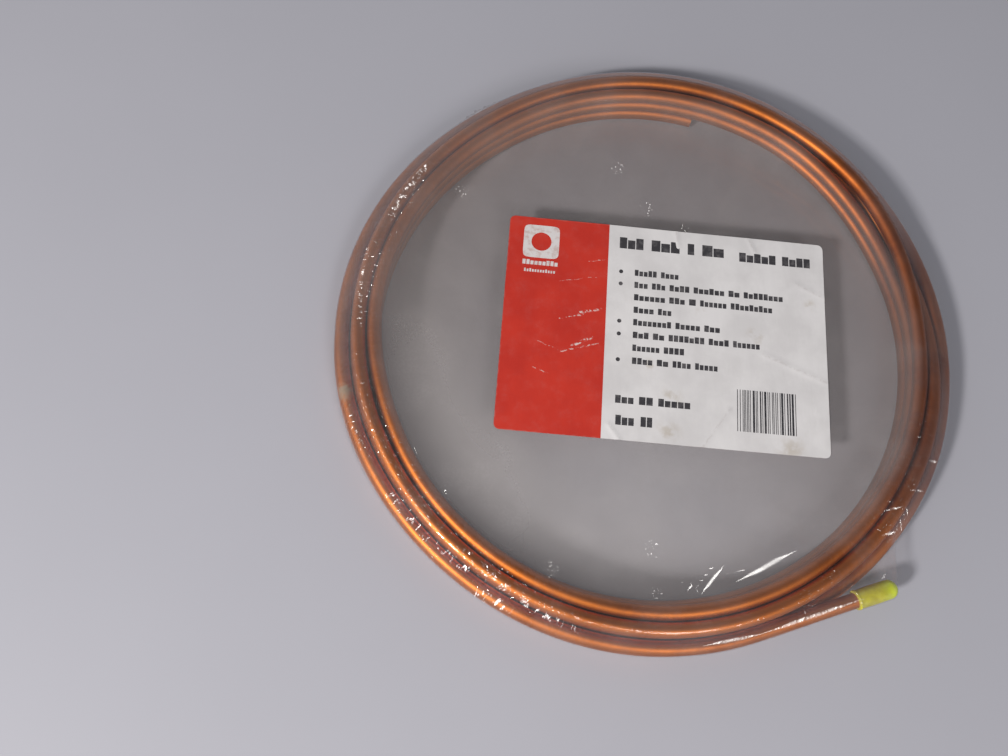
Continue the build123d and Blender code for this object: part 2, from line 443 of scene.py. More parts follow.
def copper_material():
    """Drawn soft copper: fine lines along the tube, brown in patches and on the right, one green spot."""
    material, shader = new_material("drawn_copper")
    spot = shader.coordinates()
    parts = shader.split(shader.uv())
    turn = shader.math("MULTIPLY", parts[1], 2 * math.pi)
    rim = shader.math("COSINE", turn), shader.math("SINE", turn)

    def along_tube(features_along, features_round):
        """A place on the tube's skin, counted in features along it and round it, with no seam."""
        size = features_round / (2 * math.pi)
        run = shader.math("MULTIPLY", parts[0], features_along)
        return shader.join(run, shader.math("MULTIPLY", rim[0], size), shader.math("MULTIPLY", rim[1], size))

    lines = shader.noise(along_tube(150, 50), 1, 3.0)
    fine_lines = shader.noise(along_tube(700, 90), 1, 2.0)
    stretches = shader.noise(along_tube(60, 2), 1, 4.0)
    patches = shader.noise(spot, 38, 5.0, 0.6)
    blotches = shader.noise(spot, 210, 4.0)
    blotched = shader.ramp(blotches, 0.35, 0.62, 0.55, 1.0)
    browning = shader.math("MULTIPLY", shader.ramp(patches, 0.4, 0.68), blotched)
    browning = shader.math("MULTIPLY", browning, shader.ramp(stretches, 0.3, 0.7, 0.4, 1.0))
    axes = shader.split(spot)
    # The copper is also browner along the coil's right side, fading out toward the front.
    right_side = shader.ramp(axes[0], 50 * MM, 125 * MM, 0.0, 0.8)
    right_side = shader.math("MULTIPLY", right_side, shader.ramp(axes[1], -75 * MM, -40 * MM))
    browning = shader.math("ADD", browning, right_side, clamp=True)
    bright = shader.mix(shader.ramp(lines, 0.3, 0.7), (0.60, 0.185, 0.028, 1), (0.48, 0.135, 0.020, 1))
    colour = shader.mix(browning, bright, (0.25, 0.066, 0.020, 1))
    from_green = shader.distance(spot, tuple(VERDIGRIS_PLACE))
    ragged = shader.math("ADD", from_green, shader.math("MULTIPLY", shader.noise(spot, 400, 3.0), 0.006))
    green = shader.ramp(ragged, 0.004, 0.0085, 0.75, 0.0)
    colour = shader.mix(green, colour, (0.23, 0.25, 0.19, 1))
    roughness = shader.ramp(browning, 0, 1, 0.49, 0.56)
    roughness = shader.math("ADD", roughness, shader.math("MULTIPLY", green, 0.3))
    roughness = shader.math("ADD", roughness, shader.ramp(fine_lines, 0.3, 0.7, -0.03, 0.05))
    metal = shader.math("SUBTRACT", 1.0, shader.math("MULTIPLY", green, 0.8))
    normal = shader.bump(lines, 0.00012, 0.35)
    normal = shader.bump(blotches, 0.0003, 0.25, normal)
    surface = shader.add(
        "ShaderNodeBsdfPrincipled", Base_Color=colour, Metallic=metal, Roughness=roughness, Normal=normal
    )
    shader.add("ShaderNodeOutputMaterial", Surface=surface.outputs[0])
    return material


def make_copper_tube():
    """One tube, hollow from end to end: its outside and its bore, joined by a flat ring at each end."""
    def line(share):
        return tube_line(share * TUBE_LENGTH)

    outside = skin_round(line, lambda u: np.full_like(u, TUBE_RADIUS), TUBE_RINGS, TUBE_SIDES)
    bore = skin_round(line, lambda u: np.full_like(u, TUBE_RADIUS - TUBE_WALL), BORE_RINGS, TUBE_SIDES)
    bore_mesh = bpy.data.meshes.new("bore")
    bore.to_mesh(bore_mesh)
    bore.free()
    outside.from_mesh(bore_mesh)
    bpy.data.meshes.remove(bore_mesh)
    bmesh.ops.remove_doubles(outside, verts=outside.verts, dist=0.02 * MM)
    rims = [edge for edge in outside.edges if edge.is_boundary]
    for end in tube_line(np.array([0.0, TUBE_LENGTH])):
        ring = [edge for edge in rims if (edge.verts[0].co - Vector(end)).length < 2 * TUBE_RADIUS]
        bmesh.ops.bridge_loops(outside, edges=ring)
    bmesh.ops.recalc_face_normals(outside, faces=outside.faces)
    piece = place_object(outside, "copper_tube_wound")
    piece.data.set_sharp_from_angle(angle=math.radians(50))
    give(piece, copper_material())
    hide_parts("copper_tube")


# Cap on the outer end

def cap_material():
    """Soft translucent vinyl: darker where the tube is inside it, bright yellow-green at its nose."""
    material, shader = new_material("cap_vinyl")
    spot = shader.coordinates()
    cloud = shader.noise(spot, 260, 4.0)
    past_end = shader.dot(shader.vector("SUBTRACT", spot, tuple(outer_end)), tuple(lead_out))
    past_end = shader.math("ADD", past_end, shader.math("MULTIPLY", cloud, 2 * MM))
    sleeve = shader.mix(shader.ramp(cloud, 0.35, 0.65), (0.40, 0.36, 0.010, 1), (0.50, 0.46, 0.015, 1))
    tip = shader.mix(shader.ramp(cloud, 0.35, 0.65), (0.56, 0.66, 0.006, 1), (0.64, 0.74, 0.010, 1))
    colour = shader.mix(shader.ramp(past_end, -7 * MM, 1 * MM), sleeve, tip)
    scuff = dust(shader, 420, 0.2)
    colour = shader.mix(scuff, colour, (0.55, 0.58, 0.16, 1))
    roughness = shader.math("ADD", 0.2, shader.math("MULTIPLY", scuff, 0.35))
    surface = shader.add(
        "ShaderNodeBsdfPrincipled",
        Base_Color=colour,
        Roughness=roughness,
        IOR=1.5,
        Subsurface_Weight=0.35,
        Subsurface_Radius=(0.004, 0.004, 0.0008),
        Normal=shader.bump(cloud, 0.0002, 0.3),
    )
    shader.add("ShaderNodeOutputMaterial", Surface=surface.outputs[0])
    return material


def make_cap():
    """A dipped cap: a sleeve with a rolled lip and a round nose, turned about the tube's end."""
    inside = TUBE_RADIUS + CAP_CLEARANCE
    nose_depth = CAP_RADIUS * 0.9
    profile = [(0, CAP_NOSE)]
    for degrees in range(15, 91, 15):
        bend = math.radians(degrees)
        profile.append((CAP_RADIUS * math.sin(bend), CAP_NOSE - nose_depth + nose_depth * math.cos(bend)))
    profile += [(CAP_RADIUS * 1.02, -CAP_LENGTH * 0.5), (CAP_RADIUS * 0.98, 3 * MM - CAP_LENGTH)]
    profile += [(CAP_RADIUS * 1.05, 0.8 * MM - CAP_LENGTH + CAP_NOSE), (CAP_RADIUS, CAP_NOSE - CAP_LENGTH)]
    profile += [(inside, CAP_NOSE - CAP_LENGTH), (inside, 0), (0, 0)]
    bm = bmesh.new()
    verts = [bm.verts.new((radius, 0, along)) for radius, along in profile]
    for pair in zip(verts, verts[1:]):
        bm.edges.new(pair)
    bmesh.ops.spin(
        bm, geom=bm.verts[:] + bm.edges[:], cent=(0, 0, 0), axis=(0, 0, 1),
        angle=2 * math.pi, steps=CAP_SIDES, use_merge=True,
    )
    bmesh.ops.remove_doubles(bm, verts=bm.verts, dist=0.01 * MM)
    bmesh.ops.recalc_face_normals(bm, faces=bm.faces)
    turn = Vector(lead_out).to_track_quat("Z", "Y").to_matrix().to_4x4()
    bmesh.ops.transform(bm, matrix=Matrix.Translation(Vector(outer_end)) @ turn, verts=bm.verts)
    piece = place_object(bm, "outer_end_cap_dipped")
    piece.data.set_sharp_from_angle(angle=math.radians(60))
    give(piece, cap_material())
    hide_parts("outer_end_cap")


# Film

# Folds in the film: x and y of each end and the width, in millimetres
FOLDS = [
    ((49.6, -102.0), (72.8, -85.0), 1.3),
    ((35.6, -109.8), (44.2, -96.5), 0.9),
    ((30.4, -109.6), (31.6, -106.2), 0.6),
    ((125.0, -36.5), (131.0, -34.5), 0.6),
    ((117.0, -51.5), (125.8, -48.6), 0.6),
    ((105.5, -62.5), (114.6, -58.8), 0.6),
    ((114.6, -58.8), (119.0, -60.8), 0.6),
    ((113.4, -63.8), (118.6, -67.0), 0.9),
    ((106.0, -72.5), (114.2, -68.6), 0.9),
    ((108.2, -89.2), (110.0, -87.6), 0.8),
    ((39.2, -129.5), (62.3, -120.4), 0.9),
    ((60.7, -121.1), (102.3, -98.8), 1.1),
]
# Crinkled places in the film: x, y and radius in millimetres
CRINKLES = [
    (-95, 50, 4), (-26, 79, 4), (-9, 61, 4), (10, 54, 3), (15, -95, 4.5), (18, -113, 3), (-91, -77, 4),
    (-75, -91, 4),
    (-26, -112, 4), (86, -93, 5), (78, -104, 5), (97, -109, 4), (112, -72, 6), (-118, 42, 6), (-50, -118, 5),
    (108, -87, 1.5),
]
# Rows of fine ticks along the tubes: angle and radius at each end, and half the width, in degrees and
# millimetres
TICK_ROWS = [
    (222.4, 135.0, 245.3, 132.1, 1.6), (240.4, 127.8, 253.1, 130.1, 1.6), (246.7, 136.8, 253.8, 135.8, 1.8),
    (174.0, 130.2, 192.8, 126.4, 0.8), (207.3, 136.5, 215.2, 136.0, 1.4), (153.2, 125.5, 169.2, 125.8, 1.6),
    (254.1, 131.1, 265.5, 134.0, 1.3),
]


def film_masks(spots):
    """The film's marks at each vertex: strengths from 0 to 1, and the offset from a fold in fold widths."""
    x, y = spots[:, 0], spots[:, 1]
    angle = np.degrees(np.arctan2(y, x))
    upper = np.clip((spots[:, 2] - 3 * MM) / (2 * MM), 0, 1)
    on_coil = np.clip((np.hypot(x, y) - COIL_INSIDE) / (5 * MM), 0, 1)
    aside, inside = np.full_like(x, 6.0), np.zeros_like(x)
    for start, end, width in FOLDS:
        first, run = np.array(start), np.array(end) - np.array(start)
        length = math.hypot(*run)
        along = ((x / MM - first[0]) * run[0] + (y / MM - first[1]) * run[1]) / length
        away = ((x / MM - first[0]) * run[1] - (y / MM - first[1]) * run[0]) / length
        reach = np.clip((length / 2 - np.abs(along - length / 2)) / 3 + 0.6, 0, 1)
        reach *= np.clip((4 - np.abs(away)) / 1.5, 0, 1)
        tapered = width * np.clip((1 - np.abs(2 * along / length - 1)) * 1.6, 0.12, 1)
        nearer = reach > inside
        aside = np.where(nearer, away / tapered, aside)
        inside = np.where(nearer, reach, inside)
    crinkled = np.zeros_like(x)
    for centre_x, centre_y, size in CRINKLES:
        away = np.hypot(x / MM - centre_x, y / MM - centre_y)
        crinkled = np.maximum(crinkled, np.clip(1.2 - away / size, 0, 1))
    ticked = np.zeros_like(x)
    for from_angle, from_radius, to_angle, to_radius, half in TICK_ROWS:
        share = (angle % 360 - from_angle) / (to_angle - from_angle)
        away = np.abs(np.hypot(x, y) / MM - from_radius - share * (to_radius - from_radius))
        inside_row = np.clip(3 - np.abs(share - 0.5) * 5, 0, 1)
        ticked = np.maximum(ticked, inside_row * np.clip(1.5 - away / half, 0, 1))
    rippled = np.maximum(near(angle, -128, 38), 0.7 * near(angle, 172, 30))
    rippled = np.maximum(np.maximum(rippled, 0.5 * near(angle, -25, 30)), 0.15)
    rippled *= np.clip(np.hypot(x / MM - 107, y / MM + 89) / 14 - 0.5, 0.1, 1)
    # Haze and dimming are set by place, after the shades in the photograph. The dimming is painted shade on
    # the film's veil and tint; the haze is the film's own, thickened at the lower left of the bore to fill in
    # the coil's shadow as painted light.
    haze_and_shadow_fill = (0.03 + 0.15 * near(angle, 155, 45) - 0.02 * near(angle, -10, 80)) * on_coil
    rim = np.clip((np.hypot(x, y) - 70 * MM) / (30 * MM), 0, 1)
    # The film's own haze in the bore, thickened at the lower left where its lit veil fills in the coil's
    # shadow: painted light there.
    bore_haze_and_shadow_fill = 0.19 + 0.07 * near(angle, -115, 75) + 0.24 * near(angle, -140, 45) * rim
    haze_and_shadow_fill += bore_haze_and_shadow_fill * (1 - on_coil)
    # A painted pool of light at the front of the bore: the film is painted darker away from it.
    bright = np.exp(-(((x / MM - 10) / 115) ** 2) - ((y / MM + 85) / 90) ** 2)
    return {
        "fold_offset": aside,
        "folded": inside * upper,
        "crinkled": crinkled * upper,
        "ticked": ticked * upper,
        "rippled": rippled * on_coil * upper,
        "haze_and_shadow_fill": haze_and_shadow_fill,
        "glossy": 0.03 + 0.02 * on_coil,
        "painted_shade": (1 - bright) * (1 - 0.4 * on_coil),
    }


def film_material():
    """Clear shrink film: see-through with a warm grey haze, fine ripples, soft flares on folds and gloss,
    with painted shade in its veil and tint.
    """
    material, shader = new_material("shrink_film")
    spot = shader.coordinates()
    parts = shader.split(spot)
    flat = shader.join(parts[0], parts[1], 0.0)
    radius = shader.add("ShaderNodeVectorMath", {"operation": "LENGTH"}, i0=flat).outputs["Value"]
    outward = shader.add("ShaderNodeVectorMath", {"operation": "NORMALIZE"}, i0=flat).outputs[0]
    round_it = shader.add("ShaderNodeVectorMath", {"operation": "SCALE"}, i0=outward, Scale=0.13).outputs[0]
    across = shader.join(0.0, 0.0, shader.math("MULTIPLY", radius, 0.55))
    ripples = shader.noise(shader.vector("ADD", round_it, across), 600, 1.0, 0.5)
    creased = shader.noise(spot, 1500, 1.0)
    broad = shader.noise(spot, 75, 2.0)
    cloud = shader.noise(spot, 22, 4.0)

    offset = shader.math("ADD", shader.mask("fold_offset"), broad)
    offset = shader.math("ABSOLUTE", shader.math("SUBTRACT", offset, 0.5))
    folded = shader.ramp(shader.mask("folded"), 0.3, 0.6)
    fold = shader.math("MULTIPLY", shader.ramp(offset, 0.2, 1.2, 1.0, 0.0), folded)
    crinkled = shader.ramp(shader.mask("crinkled"), 0.1, 0.6)
    glint = shader.math("MULTIPLY", shader.ramp(creased, 0.66, 0.72), crinkled)
    ticked = shader.ramp(shader.mask("ticked"), 0.3, 0.9)
    tick = shader.math("MULTIPLY", shader.ramp(ripples, 0.51, 0.57), ticked)
    sparkle = shader.math("MAXIMUM", glint, tick)
    facing_light = shader.add("ShaderNodeAttribute", {"attribute_name": "facet_facing"}).outputs["Vector"]
    ripples = shader.ramp(ripples, 0.45, 0.75)
    height = shader.math("MULTIPLY", shader.math("MULTIPLY", ripples, shader.mask("rippled")), 0.0006)
    height = shader.math("ADD", height, shader.math("MULTIPLY", broad, 0.0003))
    normal = shader.bump(height, 1.0)
    facet_normal = shader.bump(height, 1.0, 0.25, facing_light)

    # The haze mask carries the film's own haze and, at the lower left of the bore, haze thickened as painted
    # light to fill in the coil's shadow.
    haze = shader.math("ADD", shader.mask("haze_and_shadow_fill"), shader.ramp(cloud, 0.3, 0.7, -0.02, 0.03))
    haze = shader.math("ADD", haze, dust(shader, 45, 0.06), clamp=True)
    # Painted shade: the veil and the see-through tint darken away from the front of the bore.
    milk = shader.mix(shader.mask("painted_shade"), (0.52, 0.495, 0.50, 1), (0.37, 0.34, 0.335, 1))
    veil = shader.add("ShaderNodeBsdfDiffuse", Color=milk)
    tint = shader.mix(shader.mask("painted_shade"), (0.99, 0.985, 0.985, 1), (0.89, 0.875, 0.87, 1))
    clear = shader.add("ShaderNodeBsdfTransparent", Color=tint)
    body = shader.add("ShaderNodeMixShader", Fac=haze, i1=clear.outputs[0], i2=veil.outputs[0])
    gloss = shader.add("ShaderNodeBsdfGlossy", Color=(1, 1, 1, 1), Roughness=0.12, Normal=normal)
    facing = shader.add("ShaderNodeLayerWeight", Blend=0.5).outputs["Facing"]
    edge = shader.math("MULTIPLY", shader.math("POWER", facing, 5.0), 0.85)
    edge = shader.math("ADD", edge, shader.mask("glossy"))
    facet = shader.math("MAXIMUM", fold, sparkle)
    edge = shader.math("ADD", edge, shader.math("MULTIPLY", facet, 0.04))
    surface = shader.add("ShaderNodeMixShader", Fac=edge, i1=body.outputs[0], i2=gloss.outputs[0])
    flare = shader.add("ShaderNodeBsdfGlossy", Color=(1, 1, 1, 1), Roughness=0.16, Normal=facet_normal)
    flared = shader.math("MULTIPLY", shader.math("POWER", fold, 3.0), 0.014)
    sparkled = shader.math("MULTIPLY", shader.math("POWER", sparkle, 1.5), 0.014)
    flared = shader.math("ADD", flared, sparkled)
    surface = shader.add("ShaderNodeMixShader", Fac=flared, i1=surface.outputs[0], i2=flare.outputs[0])
    shader.add("ShaderNodeOutputMaterial", Surface=surface.outputs[0])
    return material


lead_radius = math.hypot(lead_start[0], lead_start[1])
lead_height = lead_start[2]
nose = outer_end + lead_out * (CAP_NOSE - CAP_RADIUS)
nose_radius = math.hypot(nose[0], nose[1])
nose_angle = math.degrees(math.atan2(nose[1], nose[0]))
cap_base_turn = math.degrees(math.atan((LEAD_OUT_RUN - CAP_LENGTH + CAP_NOSE) / lead_radius))
web_foot = (COIL_RADIUS + FILM_REACH - TUBE_RADIUS) * np.array(
    [math.cos(math.radians(WEB_FOOT_ANGLE)), math.sin(math.radians(WEB_FOOT_ANGLE))]
)
web_run = (web_foot - nose[:2]) / np.linalg.norm(web_foot - nose[:2])
web_side = np.array([web_run[1], -web_run[0]])
web_side *= math.copysign(1, web_side @ nose[:2])
web_top = nose[:2] + FILM_OVER_CAP * web_side
web_side = np.array([(web_foot - web_top)[1], -(web_foot - web_top)[0]]) / np.linalg.norm(web_foot - web_top)
web_side *= math.copysign(1, web_side @ nose[:2])
web_start_angle = math.degrees(math.atan2(web_top[1], web_top[0]))


def tubes_at(angle):
    """What the film wraps in a plane through the axis: each one's radius, height, half width, half height."""
    travel = np.arange((LEAD_OUT_ANGLE - angle) % 360, wound_travel, 360)
    cut = [(r, z, FILM_REACH, FILM_REACH) for r, z in zip(*centre_line(travel))]
    past = (angle - LEAD_OUT_ANGLE) % 360
    skew = 1 / math.cos(math.radians(min(past, 60)))
    swell = (FILM_OVER_CAP - FILM_REACH) * min(max((past - cap_base_turn) / 0.7 + 1, 0), 1)
    reach = FILM_REACH + swell
    off_nose = nose_radius * math.sin(math.radians(angle - nose_angle))
    if past < nose_angle - LEAD_OUT_ANGLE:
        cut.append((lead_radius * skew, lead_height, reach * skew, reach))
    elif angle < web_start_angle and abs(off_nose) < FILM_OVER_CAP:
        sphere = math.sqrt(FILM_OVER_CAP ** 2 - off_nose ** 2)
        cut.append((nose_radius * math.cos(math.radians(angle - nose_angle)), lead_height, sphere, sphere))
    elif web_start_angle <= angle < WEB_FOOT_ANGLE:
        share = (angle - web_start_angle) / (WEB_FOOT_ANGLE - web_start_angle)
        toward = np.array([math.cos(math.radians(angle)), math.sin(math.radians(angle))])
        edge = WEB_EDGE + (FILM_OVER_CAP * 0.7 - WEB_EDGE) * (1 - share) ** 3
        distance = (web_side @ web_top) / (web_side @ toward)
        height = lead_height + (WEB_FOOT_HEIGHT - lead_height) * share
        cut.append((distance - edge, height, edge, edge))
    for centre, width, depth in FINS:
        ragged = 1 + 0.12 * math.sin(angle * 2.9) + 0.10 * math.sin(angle * 6.1 + 1)
        ragged += 0.06 * math.sin(angle * 13.7)
        out = depth * float(near(angle, centre, width)) * ragged
        if out > LEAST_FIN:
            outside = max(radius + half_width for radius, _, half_width, _ in cut)
            cut.append((outside + out - FIN_EDGE, FIN_HEIGHT, FIN_EDGE, FIN_EDGE))
    return np.array(cut)


def film_section(angle):
    """The film's section at this angle, from the middle of its top over the tubes to the middle below."""
    tubes = tubes_at(angle)
    slopes = np.radians(np.linspace(90 + FILM_SLOPE, -90, FILM_SLOPES_TRIED))
    facing = np.stack([np.cos(slopes), np.sin(slopes)])
    stretch = np.sqrt((tubes[:, 2:3] * facing[0]) ** 2 + (tubes[:, 3:4] * facing[1]) ** 2)
    carrier = (tubes[:, :2] @ facing + stretch).argmax(0)
    held = tubes[carrier]
    over = held[:, :2] + held[:, 2:] ** 2 * facing.T / stretch[carrier, np.arange(len(slopes))][:, None]
    fall = math.radians(FILM_SLOPE)
    corner = np.array([over[0, 0] - (over[0, 1] - FILM_FLAT) / math.tan(fall), FILM_FLAT])
    bend_start = corner - [FILM_BEND, 0]
    rise = min(FILM_BEND, float(np.linalg.norm(over[0] - corner)))
    bend_end = corner + rise * np.array([math.cos(fall), math.sin(fall)])
    share = np.linspace(0, 1, FILM_BEND_ROWS, endpoint=False)[:, None]
    bend = (1 - share) ** 2 * bend_start + 2 * share * (1 - share) * corner + share ** 2 * bend_end
    share = 1 - (1 - np.linspace(0, 1, FILM_DISH_ROWS, endpoint=False)[:, None]) ** 1.5
    dish = share * (bend_start - [0, FILM_FLAT]) + [0, FILM_FLAT]
    skin = np.vstack([bend_end, over])
    spacing = length_along(skin)
    stops = np.linspace(0, spacing[-1], FILM_OVER_ROWS)
    wrapped = np.stack([np.interp(stops, spacing, skin[:, 0]), np.interp(stops, spacing, skin[:, 1])], -1)
    wrapped[:, 1] = np.maximum(wrapped[:, 1], FILM_UNDERSIDE)
    under = np.linspace(1, 0, FILM_UNDER_ROWS + 1)[1:, None] * (wrapped[-1] - [0, FILM_UNDERSIDE])
    return np.vstack([dish, bend, wrapped, under + [0, FILM_UNDERSIDE]])


def make_film():
    """The film: one closed skin, tight over the tubes, a flat dish in the bore and a tent over the cap."""
    rows = FILM_DISH_ROWS + FILM_BEND_ROWS + FILM_OVER_ROWS + FILM_UNDER_ROWS
    angles = np.linspace(-180, 180, FILM_STEPS + 1)
    sections = np.array([film_section(angle) for angle in angles])
    sections[-1] = sections[0]

    def place(u, v):
        column = np.rint(u * FILM_STEPS).astype(int)
        row = np.rint(v * (rows - 1)).astype(int)
        radius, height = sections[column, row].T
        turn = np.radians(angles[column])
        return np.stack([radius * np.cos(turn), radius * np.sin(turn), height], -1)

    bm = shaped_grid(FILM_STEPS, rows - 1, place)
    bmesh.ops.remove_doubles(bm, verts=bm.verts, dist=0.01 * MM)
    bmesh.ops.recalc_face_normals(bm, faces=bm.faces)
    piece = place_object(bm, "shrink_film_wrap")
    spots = np.empty(len(piece.data.vertices) * 3)
    piece.data.vertices.foreach_get("co", spots)
    spots = spots.reshape(-1, 3)
    for name, values in film_masks(spots).items():
        piece.data.attributes.new(name, "FLOAT", "POINT").data.foreach_set("value", values)
    # Folds, crinkles and ticks are given a normal half way between the photograph's camera and the key
    # lamp.
    to_camera = np.array(CAMERA_TARGET + CAMERA_BACK * CAMERA_DISTANCE) - spots
    to_camera /= np.linalg.norm(to_camera, axis=1, keepdims=True)
    facing = to_camera + heading(KEY_AZIMUTH, KEY_ELEVATION)
    facing /= np.linalg.norm(facing, axis=1, keepdims=True)
    aimed = piece.data.attributes.new("facet_facing", "FLOAT_VECTOR", "POINT")
    aimed.data.foreach_set("vector", facing.ravel())
    give(piece, film_material())
    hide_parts("shrink_film")


# Label

# Print on the label, in millimetres from its middle: left end, baseline, letter height and the lengths of
# the words
TEXT_LINES = [
    (-22.0, 39.6, 5.6, (11, 13, 3, 10)),
    (33.6, 38.6, 4.6, (17, 13)),
    (-14.6, 26.4, 3.0, (10, 8)),
    (-14.6, 20.4, 3.0, (6, 6, 9, 14, 5, 18)),
    (-14.6, 14.3, 3.0, (14, 7, 3, 12, 19)),
    (-14.6, 8.2, 3.0, (9, 6)),
    (-14.6, 2.2, 3.0, (17, 11, 7)),
    (-14.6, -3.9, 3.0, (7, 5, 16, 9, 12)),
    (-14.6, -10.0, 3.0, (12, 9)),
    (-14.6, -16.1, 3.0, (9, 5, 8, 10)),
    (-21.4, -34.6, 3.6, (8, 6, 14)),
    (-21.0, -44.4, 4.4, (8, 5)),
]
BULLETS = [(-20.9, 27.9), (-20.9, 21.9), (-20.9, 3.7), (-20.9, -2.4), (-20.9, -14.6)]
BULLET_RADIUS = 0.95
LETTER_GAP = 0.42
WORD_GAP = 2.3
STRIPES_LEFT, STRIPES_RIGHT = 32.2, 58.2
STRIPES_TOP, STRIPES_FOOT = -23.4, -42.4
MARK_CENTRE = (-58.0, 39.0)
MARK_HALF = 8.2
MARK_HOLE = 4.6
MARK_LINES = [(-66.0, 27.2, 2.4, (16,)), (-65.0, 23.6, 1.6, (14,))]

# Wear of the label, in millimetres from its middle: creases with a width and a rise in metres, scratches
# with a width and a strength, and stains with a size
CREASES = [
    ((4.0, 50.6), (5.3, 43.0), 1.6, 0.00035),
    ((37.9, 50.4), (41.0, 43.5), 1.6, 0.00030),
    ((28.5, -33.5), (17.0, -51.0), 2.0, 0.00040),
    ((-24.0, -44.5), (-19.0, -51.0), 1.6, 0.00035),
    ((44.0, -6.0), (73.0, -17.0), 2.6, 0.00018),
    ((60.0, 30.0), (73.0, 24.0), 2.2, 0.00015),
]
SCRATCHES = [
    ((-29.5, 8.5), (-39.0, 5.6), 0.9, 1.0),
    ((-37.0, 5.0), (-47.5, 2.2), 0.5, 0.8),
    ((-33.0, -5.5), (-41.5, -10.5), 0.9, 1.0),
    ((-30.0, -8.0), (-46.5, -13.6), 0.45, 0.8),
    ((-28.5, 33.0), (-36.0, 31.5), 0.35, 0.7),
    ((-60.6, -21.1), (-50.0, -24.6), 0.35, 0.6),
    ((-57.0, -9.5), (-46.0, -13.0), 0.3, 0.5),
    ((-32.0, 24.0), (-50.0, 20.0), 0.25, 0.5),
]
STAINS = [(56, -49, 9), (3, -30, 7), (15.6, 11.8, 3), (2, -46, 8), (-6, -16, 5), (66, 20, 4), (40, 2, 6)]


def label_relief(x, y):
    """The label's height over its flat base: slack waves and creases."""
    waves = 0.10 * np.sin(x * 52 + 1.2) * np.sin(y * 61 + 0.4) + 0.07 * np.sin(x * 97 - y * 41)
    relief = waves * MM
    for start, end, width, rise in CREASES:
        first, last = np.array(start) * MM, np.array(end) * MM
        run = last - first
        along = np.clip(((x - first[0]) * run[0] + (y - first[1]) * run[1]) / (run @ run), 0, 1)
        away = np.hypot(x - first[0] - along * run[0], y - first[1] - along * run[1])
        relief = relief + rise * np.maximum(0, 1 - away / (width * MM)) ** 1.5
    return relief


def label_material():
    """Paper with a red panel, scratches, creases and a few stains."""
    material, shader = new_material("label_paper")
    spot = shader.coordinates()
    place = shader.add(
        "ShaderNodeMapping",
        {"vector_type": "TEXTURE"},
        Vector=spot,
        Location=(*LABEL_CENTRE, 0),
        Rotation=(0, 0, LABEL_TURN),
    ).outputs[0]
    parts = shader.split(place)
    flat = shader.join(parts[0], parts[1], 0.0)
    panel_edge = (PANEL_SHARE - 0.5) * LABEL_WIDTH
    red = shader.ramp(parts[0], panel_edge - 0.05 * MM, panel_edge + 0.05 * MM, 1.0, 0.0)
    mottle = shader.noise(place, 60, 4.0)
    paper = shader.mix(shader.ramp(mottle, 0.3, 0.7), (0.64, 0.625, 0.63, 1), (0.56, 0.545, 0.55, 1))
    ink = shader.mix(shader.ramp(mottle, 0.3, 0.7), (0.50, 0.026, 0.012, 1), (0.44, 0.020, 0.010, 1))
    stained = 0.0
    for x, y, size in STAINS:
        away = shader.distance(flat, (x * MM, y * MM, 0))
        stained = shader.math("MAXIMUM", stained, shader.ramp(away, 0.0, size * MM, 1.0, 0.0))
    uneven = shader.ramp(shader.noise(place, 170, 4.0), 0.42, 0.62, 0.0, 0.5)
    stained = shader.math("MULTIPLY", stained, uneven)
    paper = shader.mix(stained, paper, (0.36, 0.30, 0.22, 1))
    border_x = shader.math("SUBTRACT", LABEL_WIDTH / 2, shader.math("ABSOLUTE", parts[0]))
    border_y = shader.math("SUBTRACT", LABEL_HEIGHT / 2, shader.math("ABSOLUTE", parts[1]))
    rubbed = shader.ramp(shader.math("MINIMUM", border_x, border_y), 0.0, 0.7 * MM, 1.0, 0.0)
    frayed = shader.ramp(shader.noise(place, 300, 4.0), 0.45, 0.68, 0.0, 0.22)
    rubbed = shader.math("MULTIPLY", rubbed, frayed)
    colour = shader.mix(red, paper, ink)
    colour = shader.mix(rubbed, colour, (0.42, 0.36, 0.33, 1))
    bent = shader.vector("ADD", flat, shader.scaled(shader.colour_noise(spot, 300), (0.0016, 0.0016, 0)))
    bent = shader.vector("SUBTRACT", bent, (0.0008, 0.0008, 0))
    scratched = line_marks(shader, bent, SCRATCHES)
    broken = shader.ramp(shader.noise(place, 800, 3.0), 0.45, 0.6)
    scratched = shader.math("MULTIPLY", scratched, broken, clamp=True)
    colour = shader.mix(scratched, colour, (0.66, 0.56, 0.53, 1))
    folds = [(start, end, width * 0.4, 0.3) for start, end, width, _ in CREASES]
    folded = line_marks(shader, flat, folds)
    colour = shader.mix(shader.math("MULTIPLY", folded, broken, clamp=True), colour, (0.40, 0.36, 0.35, 1))
    scuff = dust(shader, 160, 0.03)
    colour = shader.mix(scuff, colour, (0.46, 0.42, 0.41, 1))
    crumple = shader.noise(shader.scaled(place, (1, 0.3, 1)), 55, 4.0)
    normal = shader.bump(crumple, 0.0010, 0.5)
    normal = shader.bump(scratched, 0.00005, 1.0, normal)
    surface = shader.add(
        "ShaderNodeBsdfPrincipled",
        Base_Color=colour,
        Roughness=shader.ramp(scuff, 0, 0.03, 0.52, 0.58),
        Normal=normal,
    )
    shader.add("ShaderNodeOutputMaterial", Surface=surface.outputs[0])
    return material


def print_material(name, deep, faded):
    """Printing ink, faded in patches."""
    material, shader = new_material(name)
    worn = shader.ramp(shader.noise(shader.coordinates(), 420, 4.0), 0.45, 0.7)
    surface = shader.add(
        "ShaderNodeBsdfPrincipled", Base_Color=shader.mix(worn, (*deep, 1), (*faded, 1)), Roughness=0.5
    )
    shader.add("ShaderNodeOutputMaterial", Surface=surface.outputs[0])
    return material


